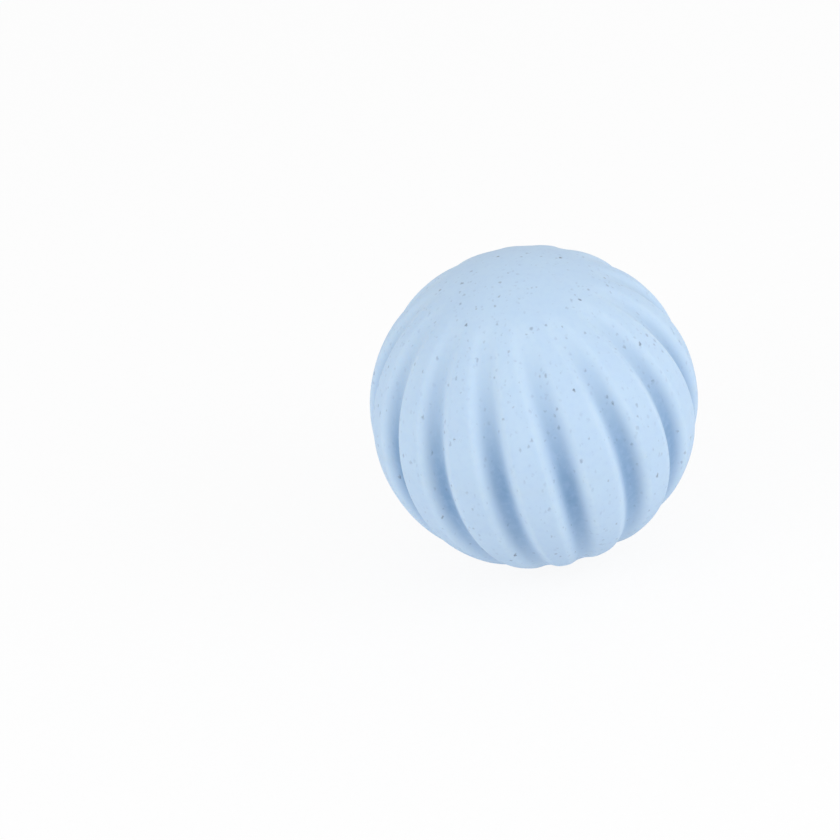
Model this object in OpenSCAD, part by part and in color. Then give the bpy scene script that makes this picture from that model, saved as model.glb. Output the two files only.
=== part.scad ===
// A baby's sensory ball: a soft skin with swirled ribs, made in two half shells that are
// bonded at the equator over a rigid two-part core. The core holds a sealed rattle can in
// the middle of the ball. The swirl axis is Z, and the origin is the centre of the ball.

/* [Ball] */
// Diameter over the rib crests, at the equator
ball_d = 70; // [62:0.5:90]
// How far each pole lies inside the sphere of that diameter
pole_drop = 0.8; // [0:0.1:1.6]
// Thickness of the soft skin under the rib crests
skin_t = 4.8; // [4:0.1:7]

/* [Ribs] */
// Number of ribs round the ball
rib_count = 15; // [10:1:20]
// Depth of the grooves between the ribs, at the equator
groove_depth = 2.2; // [1:0.05:2.4]
// Angle that a groove swings round between the equator and the 60 degree ring
swirl = 9; // [0:0.5:30]
// Angle of the first groove at the equator, measured from the +X axis
groove_start = -83; // [-90:0.5:-66]
// Latitude at which the upper skin's grooves have run out into its smooth cap
upper_groove_end = 68; // [56:1:80]
// The same in the lower skin, whose grooves run on further
lower_groove_end = 80; // [56:1:85]

/* [Seam between the skins] */
// Thickness of the tongue that the lower skin stands into the upper one
tongue_t = 1; // [0.6:0.1:1.4]
// Height of the tongue above the seam
tongue_h = 1.5; // [0.8:0.1:2.5]
// Distance from the inside of the skin to the tongue
tongue_inset = 0.7; // [0.5:0.1:0.9]
// Clearance round the tongue in its groove
tongue_gap = 0.1; // [0.05:0.05:0.2]

/* [Core] */
// Clearance between the skin and the core inside it
core_gap = 0.2; // [0.1:0.05:0.4]
// Wall of the two core shells
core_wall = 1.8; // [1.5:0.1:2.5]
// Height of the spigot that the lower shell stands into the upper one
spigot_h = 3; // [2.5:0.1:4]
// Wall of the spigot
spigot_t = 1.5; // [1.2:0.1:2]
// Clearance between the spigot and the upper shell
spigot_gap = 0.1; // [0.05:0.05:0.15]
// How far the snap bead stands out of the spigot
snap_bead = 0.3; // [0.15:0.05:0.35]

/* [Rattle can] */
// Outer diameter of the sealed can
can_d = 26; // [24:0.5:30]
// Height of the can with its lid
can_h = 18; // [14:0.5:20]
// Wall of the can, its floor and its lid
can_wall = 1.4; // [1:0.1:1.8]
// Depth of the lid's locating ring inside the can
lid_ring_h = 2; // [1:0.1:3]
// Thickness of the lid's locating ring
lid_ring_t = 1.2; // [0.8:0.1:1.5]
// Clearance between the lid's ring and the can
lid_gap = 0.1; // [0.05:0.05:0.2]

/* [Rattle holder] */
// Clearance between the can and the core that holds it
can_gap = 0.15; // [0.1:0.05:0.3]
// Wall of the round sockets that hold the can
socket_wall = 1.4; // [1:0.1:2]
// Distance from the seam plane to the mouth of each socket
socket_mouth = 1; // [0.5:0.1:3]
// Thickness of the crossed webs behind each socket
web_t = 1.4; // [1:0.1:2]

/* [Rattle beads] */
// Diameter of a rattle bead
bead_d = 5; // [4:0.1:5.5]
// Number of beads in the ring round the middle one
ring_beads = 6; // [3:1:6]
// Gap between the middle bead and the ring of beads
bead_space = 0.6; // [0.4:0.1:1.2]
// Gap under a bead at rest
bead_gap = 0.05; // [0.02:0.01:0.1]

/* [Hidden] */
// Names of the pieces
$fn = 96;

// Radii that follow from the sizes above
crest_r = ball_d / 2;
skin_inner_r = crest_r - skin_t;
core_r = skin_inner_r - core_gap;
core_inner_r = core_r - core_wall;
can_r = can_d / 2;
can_inner_r = can_r - can_wall;
socket_r = can_r + can_gap;
bead_r = bead_d / 2;

// Shape of a groove: its half width as a share of the rib pitch, how that share grows with
// the latitude in radians squared, and how steep its walls are
groove_half_share = 0.2;
groove_spread_share = 0.33;
wall_power_share = 3.05;
// A groove grows shallower all the way from the equator, towards nothing at the first of these
// latitudes in the upper skin and at the second in the lower one. It runs out sooner, over as many
// degrees as the third
upper_slow_fade_end = 80;
lower_slow_fade_end = 90;
run_out = 20;
// Part of the swirl that grows with the cube of the latitude
late_swirl_share = 0.33;
// Latitude of the ring that the swirl angle is measured to
swirl_ring = 60;
// Rows of facets from the equator to the pole, and where the columns of facets stand across
// one rib pitch, with a groove's middle at 0 and the rib crests at -0.5 and 0.5
facet_rows = 18;
column_shares = [-0.5, -0.4, -0.31, -0.24, -0.17, -0.09, 0, 0.09, 0.17, 0.24, 0.31, 0.4];

// Tongue and groove at the seam
tongue_r = skin_inner_r + tongue_inset;
tongue_root = tongue_t;

// Spigot, its collar under the seam, and the snap bead's place on it
spigot_r = core_inner_r + spigot_t / 2;
spigot_top_clearance = spigot_gap;
snap_z = spigot_h * 2 / 3;
snap_half_h = snap_bead * 2;
collar_depth = spigot_t * 3;
// How deep the socket and the webs run into the shell's wall
sink = core_wall / 2;
// The webs start this far from the seam plane, clear of the spigot
web_start = spigot_h + spigot_t;
// Edge break on the can
can_edge = can_wall / 2;
// Overrun of a cutting body past the body that it cuts
overrun = 1;

// Radius of the ring of beads, and the height of a bead's centre at rest
bead_ring_r = max(bead_d + bead_space, (bead_d + bead_space) / (2 * sin(180 / ring_beads)));
bead_z = -can_h / 2 + can_wall + bead_gap + bead_r;

skin_colour = [0.76, 0.86, 0.95];
core_colour = [0.95, 0.95, 0.92];
can_colour = [0.92, 0.94, 0.96];
bead_colour = [0.95, 0.75, 0.3];

// A step that starts and ends level
function ease(t) = let (c = max(0, min(1, t))) c * c * (3 - 2 * c);

// Share of the groove depth that is left at a latitude: ends holds the latitudes at which the
// slow fade and the groove itself end
function groove_fade(lat, ends) =
    (1 - ease(lat / ends[0])) * (1 - ease((lat - ends[1]) / run_out + 1));

// Share of the groove depth across the pitch, from 1 in the groove's middle to 0 on a crest
function bell(across, half) = exp(-pow(abs(across) / half, wall_power_share));
function groove_profile(across, lat) =
    let (half = groove_half_share * (1 + groove_spread_share * pow(lat * PI / 180, 2)))
    (bell(across, half) - bell(0.5, half)) / (1 - bell(0.5, half));

// Radius of the skin's outside
function skin_r(across, lat, ends) =
    crest_r - pole_drop * pow(sin(lat), 2)
    - groove_depth * groove_fade(lat, ends) * groove_profile(across, lat);

// Angle by which a groove has swung round at a latitude
function swing(lat) =
    let (t = lat / swirl_ring)
    -swirl * ((1 - late_swirl_share) * t + late_swirl_share * pow(t, 3));

// A point on the skin's outside: a place across the pitch of one groove, and a latitude
function skin_point(groove, across, lat, start, ends) =
    let (turn = start + (groove + across) * 360 / rib_count + swing(lat),
         r = skin_r(across, lat, ends))
    [r * cos(lat) * cos(turn), r * cos(lat) * sin(turn), r * sin(lat)];

// Half of the ribbed body above the seam plane, closed by a flat face
module ribbed_half(start, ends) {
    columns = len(column_shares) * rib_count;
    lat_step = 90 / facet_rows;
    rows = [for (row = [0 : facet_rows - 1]) for (groove = [0 : rib_count - 1]) for (across = column_shares)
        skin_point(groove, across, row * lat_step, start, ends)];
    pole = len(rows);
    centre = len(rows) + 1;
    sides = [for (row = [0 : facet_rows - 2]) for (i = [0 : columns - 1])
        let (a = row * columns + i,
             b = row * columns + (i + 1) % columns)
        each [[a, b + columns, b], [a, a + columns, b + columns]]];
    last = (facet_rows - 1) * columns;
    cap = [for (i = [0 : columns - 1]) [last + i, pole, last + (i + 1) % columns]];
    base = [for (i = [0 : columns - 1]) [i, (i + 1) % columns, centre]];
    polyhedron(points = concat(rows, [[0, 0, crest_r - pole_drop], [0, 0, 0]]), faces = concat(sides, cap, base));
}

// A ring about the Z axis, from one radius to another and from one height to another
module ring(r_in, r_out, z_low, z_high) {
    rotate_extrude()
        translate([r_in, z_low])
            square([r_out - r_in, z_high - z_low]);
}

// Everything above the seam plane, inside a radius
module dome(r) {
    intersection() {
        sphere(r = r);
        translate([-r, -r, 0])
            cube(2 * r);
    }
}

module upper_skin() {
    color(skin_colour)
        difference() {
            ribbed_half(groove_start, [upper_slow_fade_end, upper_groove_end]);
            sphere(r = skin_inner_r);
            ring(tongue_r - tongue_gap, tongue_r + tongue_t + tongue_gap, -overrun, tongue_h + tongue_gap);
        }
}

module lower_skin() {
    color(skin_colour)
        union() {
            difference() {
                rotate([180, 0, 0])
                    ribbed_half(-groove_start, [lower_slow_fade_end, lower_groove_end]);
                sphere(r = skin_inner_r);
            }
            ring(tongue_r, tongue_r + tongue_t, -tongue_root, tongue_h);
        }
}

// What both core shells share, drawn above the seam plane: the shell, the round socket for
// the rattle can and the crossed webs that the end of the can sits against
module core_half() {
    difference() {
        dome(core_r);
        sphere(r = core_inner_r);
    }
    intersection() {
        sphere(r = core_inner_r + sink);
        union() {
            ring(socket_r, socket_r + socket_wall, socket_mouth, core_r);
            crossed_webs(core_r, web_start, socket_r + socket_wall / 2);
            crossed_webs(socket_r + socket_wall / 2, can_h / 2 + can_gap, 0);
        }
    }
}

// Four upright webs, from an inner to an outer distance from the axis
module crossed_webs(outer, z_low, inner) {
    for (turn = [0 : 90 : 270])
        rotate([0, 0, turn])
            translate([inner, -web_t / 2, z_low])
                cube([outer - inner, web_t, core_r - z_low]);
}

// The lower shell's spigot with its snap bead, and the space that the upper shell leaves
module spigot(gap, z_low, top) {
    r_out = spigot_r + gap;
    rotate_extrude()
        polygon([
            [spigot_r - spigot_t, z_low],
            [r_out, z_low],
            [r_out, snap_z - snap_half_h],
            [r_out + snap_bead, snap_z],
            [r_out, snap_z + snap_half_h],
            [r_out, top],
            [spigot_r - spigot_t, top]]);
}

module upper_core() {
    color(core_colour)
        difference() {
            core_half();
            spigot(spigot_gap, -overrun, spigot_h + spigot_top_clearance);
        }
}

module lower_core() {
    color(core_colour)
        union() {
            rotate([180, 0, 0])
                core_half();
            spigot(0, 0, spigot_h);
            intersection() {
                sphere(r = core_inner_r + sink);
                rotate_extrude()
                    polygon([
                        [spigot_r - spigot_t, 0],
                        [spigot_r, 0],
                        [spigot_r, -collar_depth],
                        [core_inner_r, -collar_depth]]);
            }
        }
}

module rattle_cup() {
    color(can_colour)
        rotate_extrude()
            polygon([
                [0, -can_h / 2],
                [can_r - can_edge, -can_h / 2],
                [can_r, -can_h / 2 + can_edge],
                [can_r, can_h / 2 - can_wall],
                [can_inner_r, can_h / 2 - can_wall],
                [can_inner_r, -can_h / 2 + can_wall],
                [0, -can_h / 2 + can_wall]]);
}

module rattle_lid() {
    ring_outer_r = can_inner_r - lid_gap;
    lid_low = can_h / 2 - can_wall;
    color(can_colour)
        rotate_extrude()
            polygon([
                [0, lid_low],
                [ring_outer_r - lid_ring_t, lid_low],
                [ring_outer_r - lid_ring_t, lid_low - lid_ring_h],
                [ring_outer_r, lid_low - lid_ring_h],
                [ring_outer_r, lid_low],
                [can_r, lid_low],
                [can_r, can_h / 2 - can_edge],
                [can_r - can_edge, can_h / 2],
                [0, can_h / 2]]);
}

// Bead 1 lies in the middle of the can's floor, and the others lie in a ring round it
module bead(number) {
    turn = (number - 2) * 360 / ring_beads;
    place_r = number == 1 ? 0 : bead_ring_r;
    color(bead_colour)
        translate([place_r * cos(turn), place_r * sin(turn), bead_z])
            sphere(r = bead_r);
}

upper_skin();
lower_skin();
upper_core();
lower_core();
rattle_cup();
rattle_lid();
for (number = [1 : ring_beads + 1])
    bead(number);
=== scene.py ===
import math

import bpy
import numpy as np
from mathutils import Matrix, Vector


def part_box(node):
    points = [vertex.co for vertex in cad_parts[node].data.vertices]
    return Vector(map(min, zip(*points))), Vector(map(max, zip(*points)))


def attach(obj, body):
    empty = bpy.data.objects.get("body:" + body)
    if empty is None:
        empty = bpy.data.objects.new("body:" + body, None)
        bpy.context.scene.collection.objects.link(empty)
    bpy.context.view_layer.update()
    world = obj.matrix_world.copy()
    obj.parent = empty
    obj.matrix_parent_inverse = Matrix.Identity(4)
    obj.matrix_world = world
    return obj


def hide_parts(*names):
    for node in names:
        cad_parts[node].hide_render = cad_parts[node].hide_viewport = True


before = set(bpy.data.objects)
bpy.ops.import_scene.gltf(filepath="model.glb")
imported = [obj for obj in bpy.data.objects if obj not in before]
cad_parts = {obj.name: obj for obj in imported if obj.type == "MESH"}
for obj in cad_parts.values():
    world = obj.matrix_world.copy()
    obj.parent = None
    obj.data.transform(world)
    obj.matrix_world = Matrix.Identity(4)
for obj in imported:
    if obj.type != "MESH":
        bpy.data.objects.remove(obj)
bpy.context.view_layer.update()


# Rattle beads
# Seven loose balls of hard amber plastic that hop about in the can and make the rattle. They are
# moulded and tumbled smooth, and their dye drifts a little in cloudy streaks.
class Wire:
    """A socket in the node tree of a finish. Arithmetic on wires and numbers adds Math nodes."""

    def __init__(self, tree, socket=None):
        self.tree = tree
        self.socket = socket

    def node(self, kind, settings, sockets, output=0):
        """Adds a node, makes its settings, then sets or links its sockets, and gives one output, by
        its name or number."""
        made = self.tree.nodes.new("ShaderNode" + kind)
        for name, value in settings.items():
            setattr(made, name, value)
        for name, value in sockets.items():
            if isinstance(value, Wire):
                self.tree.links.new(value.socket, made.inputs[name])
            else:
                made.inputs[name].default_value = value
        return Wire(self.tree, made.outputs[output])

    def math(self, operation, first, second=0.0):
        """A Math node on two wires or numbers."""
        return self.node("Math", {"operation": operation}, {0: first, 1: second})

    def __add__(self, other):
        return self.math("ADD", self, other)

    def __sub__(self, other):
        return self.math("SUBTRACT", self, other)

    def __rsub__(self, other):
        return self.math("SUBTRACT", other, self)

    def __mul__(self, other):
        return self.math("MULTIPLY", self, other)

    __radd__ = __add__
    __rmul__ = __mul__

    def rise(self, low, high):
        """0 at low and 1 at high, with a smooth step between; low may be the larger one."""
        limits = {"Value": self, "From Min": low, "From Max": high}
        return self.node("MapRange", {"interpolation_type": "SMOOTHSTEP"}, limits)

    def between(self, first, second):
        """The first number where this wire is 0, and the second where it is 1."""
        return first + (second - first) * self

    def beside(self, output):
        """Another output of the node that this wire comes from."""
        return Wire(self.tree, self.socket.node.outputs[output])

    def noise(self, size, detail=2.0, roughness=0.5, output=0):
        """Cloudy noise, 0 to 1, over this wire's places, with patches about size metres across."""
        sockets = {"Vector": self, "Scale": 1.0 / size, "Detail": detail, "Roughness": roughness}
        return self.node("TexNoise", {}, sockets, output)

    def blend(self, first, second):
        """The first colour where this wire is 0, and the second where it is 1."""
        return self.node("Mix", {"data_type": "RGBA"}, {0: self, 6: first, 7: second}, output=2)

    def looked_at(self):
        """1 for a ray from the camera, from a mirror or through glass, and 0 for one of light."""
        seen = self.node("LightPath", {}, {}, "Is Camera Ray")
        mirrored = self.node("LightPath", {}, {}, "Is Glossy Ray")
        through = self.node("LightPath", {}, {}, "Is Transmission Ray")
        return self.math("MAXIMUM", seen, self.math("MAXIMUM", mirrored, through))

    def relief(self, depth):
        """The normal of a surface that this wire, 0 to 1, raises by up to depth metres."""
        return self.node("Bump", {}, {"Height": self, "Distance": depth})

    def feed(self, shader, socket):
        """Links this wire to a socket of the shader."""
        self.tree.links.new(self.socket, shader.inputs[socket])


def screen(red, green, blue):
    """A colour as a screen shows it, 0 to 255, turned into linear light by the sRGB curve."""
    share = np.array([red, green, blue]) / 255.0
    return (*(((share + 0.055) / 1.055) ** 2.4).tolist(), 1.0)


def plastic(name, constants):
    """A new finish: the material, its shader with constants set, and a wire of places in metres."""
    made = bpy.data.materials.new(name)
    made.use_nodes = True
    shader = made.node_tree.nodes["Principled BSDF"]
    for socket, value in constants.items():
        shader.inputs[socket].default_value = value
    place = Wire(made.node_tree).node("TexCoord", {}, {}, "Object")
    return made, shader, place


crisp_edge_angle = math.radians(35)


def dress(names, made):
    """Gives CAD pieces their finish, with their round faces shaded smooth and their edges crisp."""
    for name in names:
        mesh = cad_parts[name].data
        mesh.materials.clear()
        mesh.materials.append(made)
        mesh.shade_smooth()
        mesh.set_sharp_from_angle(angle=crisp_edge_angle)


def amber_plastic():
    """Two close ambers in cloudy streaks, glossy, with the faint dimples that tumbling leaves."""
    constants = {"IOR": 1.5, "Subsurface Weight": 0.1, "Subsurface Scale": 0.001}
    made, shader, place = plastic("amber_plastic", constants)
    streaks = place.noise(size=0.0021, detail=3.0).rise(0.3, 0.7)
    streaks.blend(screen(222, 146, 50), screen(240, 178, 84)).feed(shader, "Base Color")
    place.noise(size=0.0008).between(0.22, 0.32).feed(shader, "Roughness")
    place.noise(size=0.0006).relief(depth=0.000004).feed(shader, "Normal")
    return made


dress([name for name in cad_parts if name.startswith("bead_")], amber_plastic())


# Rattle can
# A small round can with a lid that locates in its mouth. Both are injection moulded in milky
# plastic and are welded shut once the beads are in, so that they never come loose.
def milky_plastic():
    """Two close milky whites in flow clouds, satin, with a light ripple from the mould."""
    constants = {"IOR": 1.49, "Subsurface Weight": 0.15, "Subsurface Scale": 0.002}
    made, shader, place = plastic("milky_plastic", constants)
    clouds = place.noise(size=0.006, detail=3.0).rise(0.3, 0.7)
    clouds.blend(screen(224, 231, 238), screen(239, 243, 246)).feed(shader, "Base Color")
    place.noise(size=0.002).between(0.28, 0.42).feed(shader, "Roughness")
    place.noise(size=0.0005, detail=4.0).relief(depth=0.000006).feed(shader, "Normal")
    return made


dress(["rattle_cup", "rattle_lid"], milky_plastic())


# Core shells
# Two stiff half shells of undyed polypropylene that snap together at the equator round the
# rattle can. Their mould is spark eroded, and its grain helps the soft skins to grip them.
def undyed_plastic():
    """Warm off-white in slow clouds, dull, with an even spark-eroded grain."""
    made, shader, place = plastic("undyed_plastic", {"IOR": 1.49})
    clouds = place.noise(size=0.009, detail=3.0).rise(0.2, 0.8)
    clouds.blend(screen(236, 234, 226), screen(242, 240, 233)).feed(shader, "Base Color")
    place.noise(size=0.001).between(0.5, 0.65).feed(shader, "Roughness")
    grain = place.noise(size=0.0004, detail=3.0, roughness=0.7)
    grain.relief(depth=0.00002).feed(shader, "Normal")
    return made


dress(["upper_core", "lower_core"], undyed_plastic())


# Ribbed skins
# Two half shells of soft, matte, pale blue elastomer, each moulded in one pull and bonded edge to
# edge over the core, where the lower one's tongue keys the seam. Fifteen broad ribs swirl from pole
# to pole, and the grooves between them run on further in the lower one.
crest_radius = 0.035
pole_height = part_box("upper_skin")[1].z
skin_thickness = 0.0048
groove_depth = 0.0022
rib_count = 15
first_groove = math.radians(-83)
swirl = math.radians(9)
swirl_ring = math.radians(60)
late_swirl_share = 0.33
upper_fade_ends = (math.radians(80), math.radians(68))
lower_fade_ends = (math.radians(90), math.radians(80))
run_out = math.radians(20)
groove_half_share = 0.2
groove_spread_share = 0.33
wall_power_share = 3.05
tongue_inset = 0.0007
tongue_thickness = 0.001
tongue_height = 0.0015
tongue_gap = 0.0001

columns_per_rib = 32
outer_rows = 112
inner_rows = 22
last_row_latitude = 0.0006
columns = rib_count * columns_per_rib
across = np.tile(np.arange(columns_per_rib) / columns_per_rib - 0.5, rib_count)
seam_turn = first_groove + (np.arange(columns) / columns_per_rib - 0.5) * 2 * math.pi / rib_count


def ease(share):
    """A step that starts and ends level: 3 t squared less 2 t cubed, with t held from 0 to 1."""
    held = np.clip(share, 0.0, 1.0)
    return held * held * (3.0 - 2.0 * held)


def groove_share(latitude, fade_ends):
    """How much of the full groove depth each point has: a bell across the pitch, exp of minus the
    place over the half width to a power, level with the crest at its rim, times two fades. One
    eases from 1 at the equator to 0 at the first of the fade ends, and the other from 1 to 0 over
    the run out before the second. The half width grows with the latitude squared."""
    half = groove_half_share * (1.0 + groove_spread_share * latitude ** 2)
    bell = np.exp(-np.abs(across / half) ** wall_power_share)
    rim = np.exp(-(0.5 / half) ** wall_power_share)
    slow_fade = 1.0 - ease(latitude / fade_ends[0])
    last_fade = 1.0 - ease((latitude - fade_ends[1]) / run_out + 1.0)
    return (bell - rim) / (1.0 - rim) * slow_fade * last_fade


def swing(latitude):
    """How far a groove has swung round: part of the swirl grows with t and the rest with t cubed,
    where t is the latitude over that of the swirl ring."""
    share = latitude / swirl_ring
    return -swirl * ((1.0 - late_swirl_share) * share + late_swirl_share * share ** 3)


def ribbed_rows(latitude, side, fade_ends):
    """Rows of the outside from a pole down to the seam: the radius is the crest's, less the drop
    to the pole times sine squared of the latitude, less the groove depth times its share."""
    radius = crest_radius - (crest_radius - pole_height) * np.sin(latitude) ** 2
    radius = radius - groove_depth * groove_share(latitude, fade_ends)
    turn = seam_turn + side * swing(latitude)
    return radius * np.cos(latitude), side * radius * np.sin(latitude), turn


def plain_rows(radii, heights):
    """Rows that are plain circles round the axis, one for each radius and height."""
    flat = np.ones(columns)
    return np.outer(radii, flat), np.outer(heights, flat), np.tile(seam_turn, (len(radii), 1))


def half_skin(name, side, gap, fade_ends):
    """One closed half shell, side 1 the upper and -1 the lower. Its rows run down the outside,
    across the seam face, over the tongue or into its slot, and up the round inside."""
    latitude = np.linspace(math.pi / 2, 0.0, outer_rows + 1)[1:-1]
    latitude = np.append(latitude, [last_row_latitude, 0.0])
    inside = np.linspace(0.0, math.pi / 2, inner_rows + 1)[:-1]
    inner_radius = crest_radius - skin_thickness
    key_inner = inner_radius + tongue_inset - gap
    key_outer = inner_radius + tongue_inset + tongue_thickness + gap
    key_top = tongue_height + gap
    parts = [
        ribbed_rows(latitude[:, None], side, fade_ends),
        plain_rows([key_outer, key_outer, key_inner, key_inner], [0.0, key_top, key_top, 0.0]),
        plain_rows(inner_radius * np.cos(inside), side * inner_radius * np.sin(inside)),
    ]
    radius, height, turn = (np.vstack(piece) for piece in zip(*parts))
    places = [radius * np.cos(turn), radius * np.sin(turn), height]
    points = np.stack(places, axis=-1).reshape(-1, 3)
    poles = [[0.0, 0.0, side * pole_height], [0.0, 0.0, side * inner_radius]]
    grid = np.arange(len(points)).reshape(-1, columns)
    beside = np.roll(grid, -1, axis=1)
    quads = np.stack([grid[:-1], grid[1:], beside[1:], beside[:-1]], axis=-1).reshape(-1, 4)
    outer_fan = np.stack([np.full(columns, len(points)), grid[0], beside[0]], axis=-1)
    inner_fan = np.stack([grid[-1], np.full(columns, len(points) + 1), beside[-1]], axis=-1)
    quads, outer_fan, inner_fan = (loops[:, ::side] for loops in (quads, outer_fan, inner_fan))
    faces = [*quads.tolist(), *outer_fan.tolist(), *inner_fan.tolist()]
    mesh = bpy.data.meshes.new(name)
    mesh.from_pydata(np.vstack([points, poles]).tolist(), [], faces)
    depth = np.zeros(len(mesh.vertices))
    depth[: latitude.size * columns] = groove_share(latitude[:, None], fade_ends).ravel()
    mesh.attributes.new("groove", "FLOAT", "POINT").data.foreach_set("value", depth)
    mesh.shade_smooth()
    mesh.set_sharp_from_angle(angle=crisp_edge_angle)
    skin = bpy.data.objects.new(name, mesh)
    bpy.context.scene.collection.objects.link(skin)
    return skin


# As shares of a fleck's radius: how wide the rags of its outline are, how far they reach and how
# wide its soft edge is. Then the least size and contrast by lot, how a fleck is drawn out, and the
# width of the step between the lots that are kept and the rest.
rag_size_share = 1.5
rag_reach_share = 1.6
soft_edge_share = 0.7
least_size_share = 0.4
least_contrast_share = 0.35
drawn_out = (1.0, 1.0, 0.6)
lot_step = 0.01


def flecks(place, cell, radius, share, contrast, turn):
    """Ground husk in the elastomer: one fleck for a share of the cells, as a soft ball of up to
    radius metres about a scattered point, drawn out along one way and ragged in outline. Each has
    up to the contrast, by lot."""
    rags = place.noise(size=rag_size_share * radius, detail=1.0, output="Color")
    shift = {0: rags, "Scale": rag_reach_share * radius}
    rags = place.node("VectorMath", {"operation": "SCALE"}, shift)
    moved = place.node("VectorMath", {"operation": "ADD"}, {0: place, 1: rags})
    long = place.node("Mapping", {}, {"Vector": moved, "Rotation": turn, "Scale": drawn_out})
    distance = place.node("TexVoronoi", {}, {"Vector": long, "Scale": 1.0 / cell})
    lots = place.node("SeparateColor", {}, {"Color": distance.beside("Color")})
    kept = lots.rise(share + lot_step, share)
    reach = lots.beside("Green").between(least_size_share, 1.0) * (radius / cell)
    inside = (reach - distance).rise(0.0, soft_edge_share * radius / cell)
    return inside * kept * lots.beside("Blue").between(least_contrast_share * contrast, contrast)


# How much stronger the painted shade in grooves and painted highlight on rims get with each metre
# down, how strong the clouds are, how much rougher a fleck is than the rest, and the share of the
# coarser part of the grain
painted_light_lean_per_metre = 10.0
broad_cloud_share = 0.22
fine_cloud_share = 0.16
fleck_roughness = 0.1
coarse_grain_share = 0.6


def speckled_elastomer():
    """Pale blue, with a painted highlight along the rims of the ribs and painted shade that darkens
    the grooves the deeper they are, both a little stronger towards the lower pole, with cloudy
    mottling, husk flecks in three sizes and a fine, dull face."""
    made, shader, place = plastic("speckled_elastomer", {
        "IOR": 1.42,
        "Specular IOR Level": 0.25,
        "Subsurface Weight": 0.15,
        "Subsurface Scale": 0.0012,
        "Subsurface Radius": (0.45, 0.7, 1.0),
    })
    groove = place.node("Attribute", {"attribute_name": "groove"}, {}, "Fac")
    height = place.node("SeparateXYZ", {}, {"Vector": place}, "Z")
    # Painted light grows towards the lower pole: the painted highlight and the painted shade both
    # get stronger with each metre down.
    painted_light_lean = 1.0 - painted_light_lean_per_metre * height
    # Painted highlight: along the rims of the ribs, where the grooves begin, the colour turns a
    # touch lighter, more so towards the lower pole.
    rim = groove.rise(0.0, 0.06) * groove.rise(0.7, 0.2)
    rib_with_painted_highlight = (rim * painted_light_lean).blend(screen(195, 219, 242), screen(200, 223, 244))
    # Painted shade: the grooves turn a darker blue the deeper they are, down to screen(125, 160,
    # 197) at full depth, more so towards the lower pole.
    colour = (groove * groove * painted_light_lean).blend(rib_with_painted_highlight, screen(125, 160, 197))
    broad_clouds = broad_cloud_share * place.noise(size=0.011, detail=3.0).rise(0.25, 0.75)
    fine_clouds = fine_cloud_share * place.noise(size=0.0014).rise(0.4, 0.75)
    colour = (broad_clouds + fine_clouds).blend(colour, screen(179, 205, 236))
    dust = flecks(place, cell=0.0012, radius=0.0005, share=0.85, contrast=0.2,
                  turn=(0.4, 1.1, 0.2))
    small = flecks(place, cell=0.0017, radius=0.0005, share=0.75, contrast=0.42,
                   turn=(1.2, 0.3, 0.9))
    large = flecks(place, cell=0.0027, radius=0.00055, share=0.55, contrast=0.75,
                   turn=(2.1, 0.8, 0.1))
    colour = dust.blend(colour, screen(112, 128, 166))
    colour = small.blend(colour, screen(100, 112, 140))
    colour = large.blend(colour, screen(92, 96, 114))
    colour.feed(shader, "Base Color")
    dull = place.noise(size=0.003).between(0.58, 0.68)
    (dull + fleck_roughness * large).feed(shader, "Roughness")
    grain = place.noise(size=0.00035) + coarse_grain_share * place.noise(size=0.0012)
    grain.relief(depth=0.000008).feed(shader, "Normal")
    return made


skin_finish = speckled_elastomer()
for name, node, side, gap, fade_ends in [
    ("upper_soft_skin", "upper_skin", 1, tongue_gap, upper_fade_ends),
    ("lower_soft_skin", "lower_skin", -1, 0.0, lower_fade_ends),
]:
    skin = half_skin(name, side, gap, fade_ends)
    skin.data.materials.append(skin_finish)
    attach(skin, "ball")
    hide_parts(node)


# Floor
# A plain white sheet that the ball rests on at its lower pole. The camera sees it almost as bright
# as paper in the sun, so that only the soft shadow under the ball shows. A spot of it right under
# the ball is lit from beneath, so that the ball's underside isn't black when seen from below.
floor_half_width = 1.5
floor_glow_share = 0.9
floor_spot_radius = 0.018
floor_spot_glow = 0.2
floor_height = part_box("lower_skin")[0].z


def white_sheet():
    """A glow that the camera sees, mixed with a matte white that takes light and shadow. Seen from
    below it is clear, so that the ball can be looked at from under the floor."""
    made, shader, place = plastic("white_sheet", {"Roughness": 0.9, "Emission Strength": 1.0})
    fibre = place.noise(size=0.0015, detail=4.0).rise(0.3, 0.7)
    fibre.blend(screen(244, 244, 245), screen(248, 248, 249)).feed(shader, "Base Color")
    matte = Wire(made.node_tree, shader.outputs[0])
    looked_at = place.looked_at()
    under_ball = (0.0, 0.0, floor_height)
    away = place.node("VectorMath", {"operation": "DISTANCE"}, {0: place, 1: under_ball}, "Value")
    spot = away.rise(floor_spot_radius, 0.0) * (1.0 - looked_at)
    (floor_spot_glow * spot).feed(shader, "Emission Color")
    glow = place.node("Emission", {}, {"Strength": 1.0})
    sheet = place.node("MixShader", {}, {0: floor_glow_share * looked_at, 1: matte, 2: glow})
    behind = place.node("NewGeometry", {}, {}, "Backfacing")
    seen = place.node("LightPath", {}, {}, "Is Camera Ray")
    clear = place.node("BsdfTransparent", {}, {})
    sheet = place.node("MixShader", {}, {0: behind * seen, 1: sheet, 2: clear})
    sheet.feed(made.node_tree.nodes["Material Output"], "Surface")
    return made


corners = [(x * floor_half_width, y * floor_half_width, floor_height) for x, y in
           ((-1, -1), (1, -1), (1, 1), (-1, 1))]
floor_mesh = bpy.data.meshes.new("floor")
floor_mesh.from_pydata(corners, [], [(0, 1, 2, 3)])
floor_mesh.materials.append(white_sheet())
floor = bpy.data.objects.new("floor", floor_mesh)
bpy.context.scene.collection.objects.link(floor)


# Light
# A tent of white cloth lights the ball evenly from all round, and two soft boxes in front of it,
# the stronger one on the right, give its ribs their shape.
tent_level = 0.707
box_lift = math.radians(30)
box_distance = 0.6
box_width = 0.35

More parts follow.
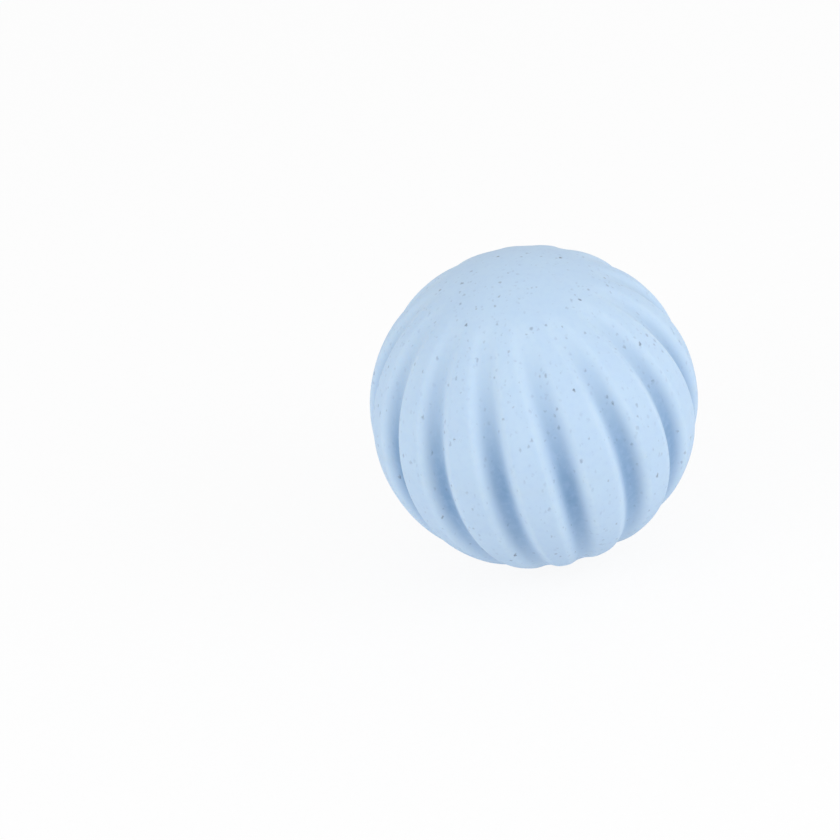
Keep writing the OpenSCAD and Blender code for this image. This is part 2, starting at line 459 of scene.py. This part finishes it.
for name, turn, power in [
    ("right_soft_box", math.radians(60), 1.1),
    ("left_soft_box", math.radians(-60), 0.76),
]:
    reach = math.cos(box_lift)
    aim = Vector((math.sin(turn) * reach, -math.cos(turn) * reach, math.sin(box_lift)))
    lamp = bpy.data.lights.new(name, "AREA")
    lamp.size = box_width
    lamp.energy = power
    soft_box = bpy.data.objects.new(name, lamp)
    soft_box.location = aim * box_distance
    soft_box.rotation_mode = "QUATERNION"
    soft_box.rotation_quaternion = aim.to_track_quat("Z", "Y")
    soft_box.visible_camera = False
    bpy.context.scene.collection.objects.link(soft_box)

tent = bpy.data.worlds.new("tent")
tent.use_nodes = True
bpy.context.scene.world = tent
cloth = tent.node_tree.nodes["Background"]
cloth.inputs["Color"].default_value = (1.0, 1.0, 1.0, 1.0)
Wire(tent.node_tree).looked_at().between(tent_level, 1.0).feed(cloth, "Strength")


# Camera
# It looks down at the ball from the front, 31 degrees above its equator, and is rolled a little,
# so that the upper pole leans left. The ball's middle sits right of the middle of the picture.
picture_width = 840
ball_centre_px = (533.9, 406.7)
ball_radius_px = 164.5
pole_lift = math.radians(31.0)
pole_lean = math.radians(99.0)
ball_turn = math.radians(0.6)
lens_mm = 400.0
sensor_mm = 36.0

focal_px = lens_mm / sensor_mm * picture_width
stand_off = focal_px * crest_radius / ball_radius_px
pole = Vector((math.cos(pole_lift) * math.cos(pole_lean), math.cos(pole_lift) * math.sin(pole_lean),
               math.sin(pole_lift)))
towards = (Vector((0.0, 0.0, 1.0)) - pole * pole.z).normalized()
rightwards = pole.cross(towards)
facing = Matrix.Rotation(-ball_turn, 3, "Z") @ Matrix([rightwards, -towards, pole])
middle_px = picture_width / 2
aside = Vector((ball_centre_px[0] - middle_px, middle_px - ball_centre_px[1], -focal_px))
swivel = Vector((0.0, 0.0, -1.0)).rotation_difference(aside).to_matrix()

lens = bpy.data.cameras.new("camera")
lens.lens = lens_mm
lens.sensor_width = sensor_mm
lens.clip_start = 0.01
camera = bpy.data.objects.new("camera", lens)
camera.location = facing @ Vector((0.0, 0.0, stand_off))
camera.rotation_mode = "QUATERNION"
camera.rotation_quaternion = (facing @ swivel.transposed()).to_quaternion()
bpy.context.scene.collection.objects.link(camera)
bpy.context.scene.camera = camera
bpy.context.scene.view_settings.view_transform = "Standard"
